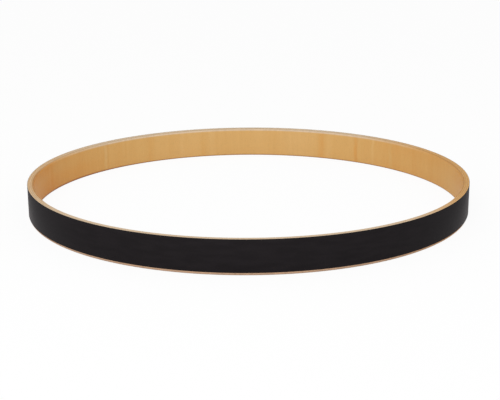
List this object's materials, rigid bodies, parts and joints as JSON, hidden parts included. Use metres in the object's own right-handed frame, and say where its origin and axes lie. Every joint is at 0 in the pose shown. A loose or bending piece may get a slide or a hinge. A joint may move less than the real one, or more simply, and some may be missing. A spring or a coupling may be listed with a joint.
{
  "type": "drum hoop",
  "caption": "Laminated wooden hoop for a bass drum: cross-laid maple plies with staggered joints, rounded edges and a black outer facing, lying flat.",
  "frame": {"origin": "centre of the ring, on the surface that the hoop lies on", "axes": "+Z along the hoop's axis, from the lower edge with the bare outer round-over to the upper edge; -Y is the side that faces the camera in the picture"},
  "size_m": [0.588, 0.588, 0.043],
  "materials": {
    "face_maple": "amber satin lacquer",
    "long_maple": "sanded edge",
    "cross_maple": "sanded edge",
    "black_facing": "satin"
  },
  "bodies": {
    "root": {"ply_1_face_veneer_1": "face_maple", "ply_1_face_veneer_2": "face_maple", "ply_1_face_veneer_3": "face_maple", "ply_1_face_veneer_4": "face_maple", "ply_1_face_veneer_5": "face_maple", "ply_2_long_strip": "long_maple", "ply_3_cross_veneer_1": "cross_maple", "ply_3_cross_veneer_2": "cross_maple", "ply_3_cross_veneer_3": "cross_maple", "ply_3_cross_veneer_4": "cross_maple", "ply_3_cross_veneer_5": "cross_maple", "ply_4_long_strip": "long_maple", "ply_5_cross_veneer_1": "cross_maple", "ply_5_cross_veneer_2": "cross_maple", "ply_5_cross_veneer_3": "cross_maple", "ply_5_cross_veneer_4": "cross_maple", "ply_5_cross_veneer_5": "cross_maple", "ply_6_long_strip": "long_maple", "ply_7_outer_veneer_1": "cross_maple", "ply_7_outer_veneer_2": "cross_maple", "ply_7_outer_veneer_3": "cross_maple", "ply_7_outer_veneer_4": "cross_maple", "ply_7_outer_veneer_5": "cross_maple", "outer_black_facing": "black_facing"}
  },
  "joints": []
}
